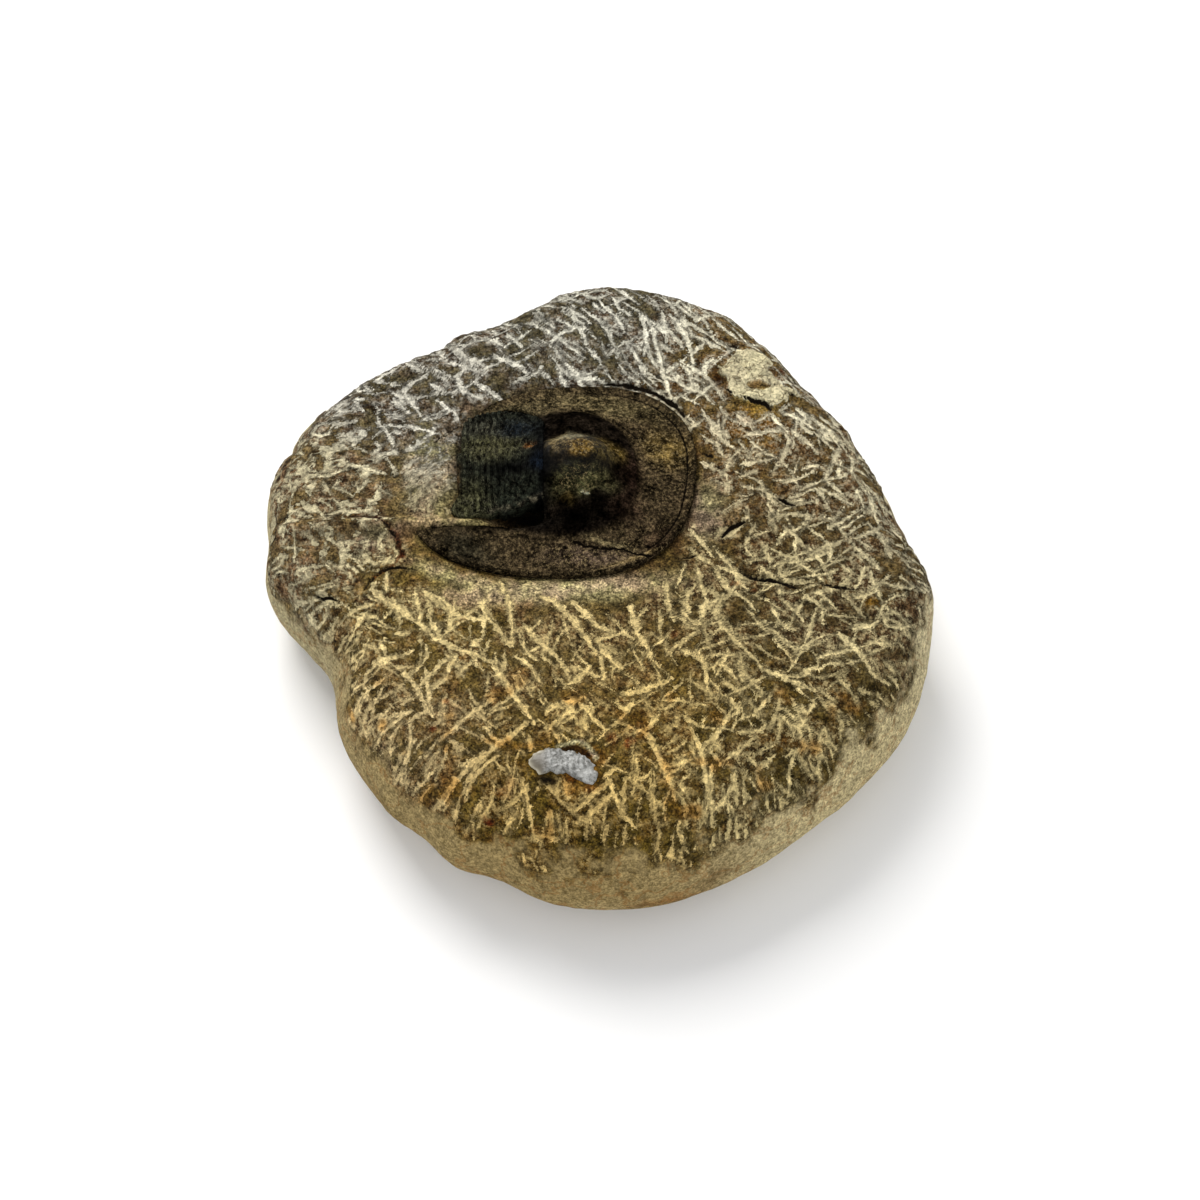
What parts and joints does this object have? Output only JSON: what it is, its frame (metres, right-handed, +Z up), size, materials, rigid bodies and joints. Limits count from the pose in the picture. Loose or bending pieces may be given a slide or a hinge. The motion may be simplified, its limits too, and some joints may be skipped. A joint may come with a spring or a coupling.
{
  "type": "trilobite fossil",
  "caption": "Wide-brimmed trilobite half freed from a rounded, flat-based limestone cobble whose crown is covered in tool strokes.",
  "frame": {"origin": "middle of the stone's box, on the flat it rests on", "axes": "+Z up, out of the worked crown; +X towards the trilobite's head; +Y towards the far side of the stone"},
  "size_m": [0.1004, 0.1043, 0.0308],
  "materials": {
    "limestone": "matt rock with pale cut strokes",
    "fossil_shell": "dark, half polished",
    "fossil_segments": "dark, rough",
    "calcite": "satin, milky"
  },
  "bodies": {
    "root": {"stone_matrix": "limestone", "head_shield": "fossil_shell", "thorax": "fossil_segments", "calcite_patch": "calcite"}
  },
  "joints": []
}
